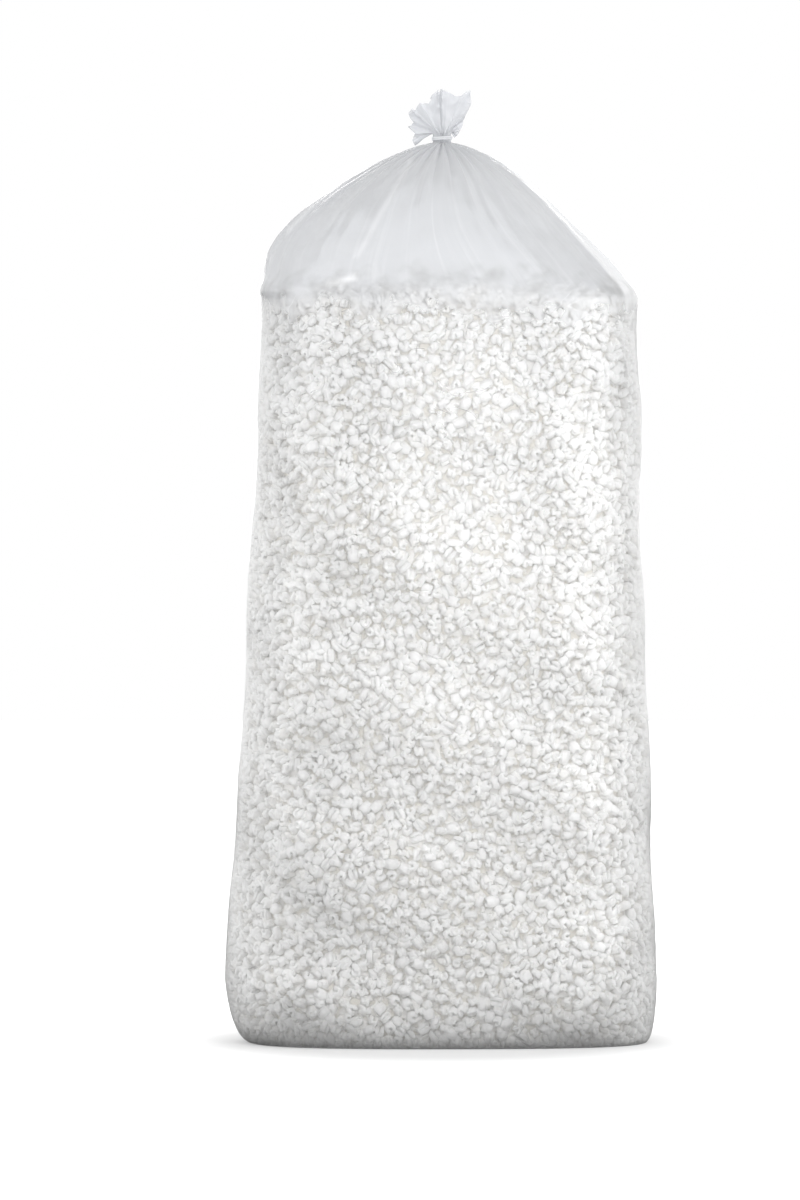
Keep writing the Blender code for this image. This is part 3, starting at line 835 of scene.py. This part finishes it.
def makeFloor():
    bpy.ops.mesh.primitive_plane_add(size=60, location=(0, 0, 0))
    floor = bpy.context.object
    floor.name = "floor"
    material, net = newMaterial("paleFloor")
    seen = net.add("ShaderNodeLightPath", out="Is Camera Ray")
    matt = net.add("ShaderNodeBsdfDiffuse", None, {
        "Color": net.blend(seen, studio["floorLighting"], studio["floorSeen"]),
    })
    # Painted shadow: the floor's own glow is least near the sack and full white further off, darkening the
    # floor round the foot on top of the real shadow on its matt part
    place = net.add("ShaderNodeTexCoord", out="Object")
    squashed = net.add("ShaderNodeVectorMath", {"operation": "MULTIPLY"}, {0: place, 1: (1.0, 0.6, 1.0)})
    away = net.add("ShaderNodeVectorMath", {"operation": "LENGTH"}, {0: squashed}, out="Value")
    rise = net.range(away, studio["liftNear"], studio["liftFar"], studio["paintedShadowLift"], 1.0)
    lift = net.add("ShaderNodeEmission", None, {"Color": (1.0, 1.0, 1.0, 1.0), "Strength": seen * rise})
    finishMaterial(net, net.add("ShaderNodeAddShader", None, {0: matt, 1: lift}))
    floor.data.materials.append(material)


def makeRoom():
    world = bpy.data.worlds.new("studio")
    world.use_nodes = True
    world.node_tree.nodes.clear()
    net = Net(world.node_tree)
    path = net.add("ShaderNodeLightPath")
    rays = [Wire(net, path.socket.node.outputs[f"Is {kind} Ray"]) for kind in ("Camera", "Transmission")]
    seen = rays[0].maths("MAXIMUM", rays[1])
    # The room is bright all round and darker overhead
    view = net.add("ShaderNodeSeparateXYZ", None, {0: net.add("ShaderNodeTexCoord", out="Generated")}, out=2)
    room = net.range(view, 0.0, 1.0, studio["wallLight"], studio["ceilingLight"])
    strength = seen + (1 - seen) * room
    sky = net.add("ShaderNodeBackground", None, {"Color": (1.0, 1.0, 1.0, 1.0), "Strength": strength})
    net.add("ShaderNodeOutputWorld", None, {"Surface": sky})
    bpy.context.scene.world = world


def makeLamps():
    for side, (place, size, power) in studio["softboxes"].items():
        data = bpy.data.lights.new(f"{side}Softbox", "AREA")
        data.shape, data.size, data.energy = "SQUARE", size, power
        lamp = bpy.data.objects.new(f"{side}Softbox", data)
        lamp.location = place
        lamp.rotation_euler = (Vector(studio["lampAim"]) - Vector(place)).to_track_quat("-Z", "Y").to_euler()
        bpy.context.scene.collection.objects.link(lamp)


def makeCamera():
    scale = studio["photoScale"]
    aimX = (studio["photoWidth"] / 2 - studio["footPixel"][0]) * scale
    aimZ = (studio["footPixel"][1] - studio["photoHeight"] / 2) * scale
    away, tilt = studio["cameraAway"], studio["cameraTilt"]
    data = bpy.data.cameras.new("camera")
    data.sensor_fit = "VERTICAL"
    data.sensor_height = 24.0
    data.lens = data.sensor_height * away / (studio["photoHeight"] * scale)
    camera = bpy.data.objects.new("camera", data)
    camera.location = (aimX, -away * math.cos(tilt), aimZ + away * math.sin(tilt))
    camera.rotation_euler = (0.5 * math.pi - tilt, 0, 0)
    bpy.context.scene.collection.objects.link(camera)
    bpy.context.scene.camera = camera


def makeStudio():
    scene = bpy.context.scene
    scene.view_settings.view_transform = "Standard"
    # White foam passes light on many times before it is lost
    scene.cycles.max_bounces, scene.cycles.diffuse_bounces = 12, 10
    makeFloor()
    makeRoom()
    makeLamps()
    makeCamera()
    print("studio", len(studio["softboxes"]), "softboxes")


makeStudio()
foam = peanutFoam("whitePeanutFoam", *foamColours["front"])
makePeanuts(foam)
makeTopPeanuts(foam)
makeFilm()
makeTie()
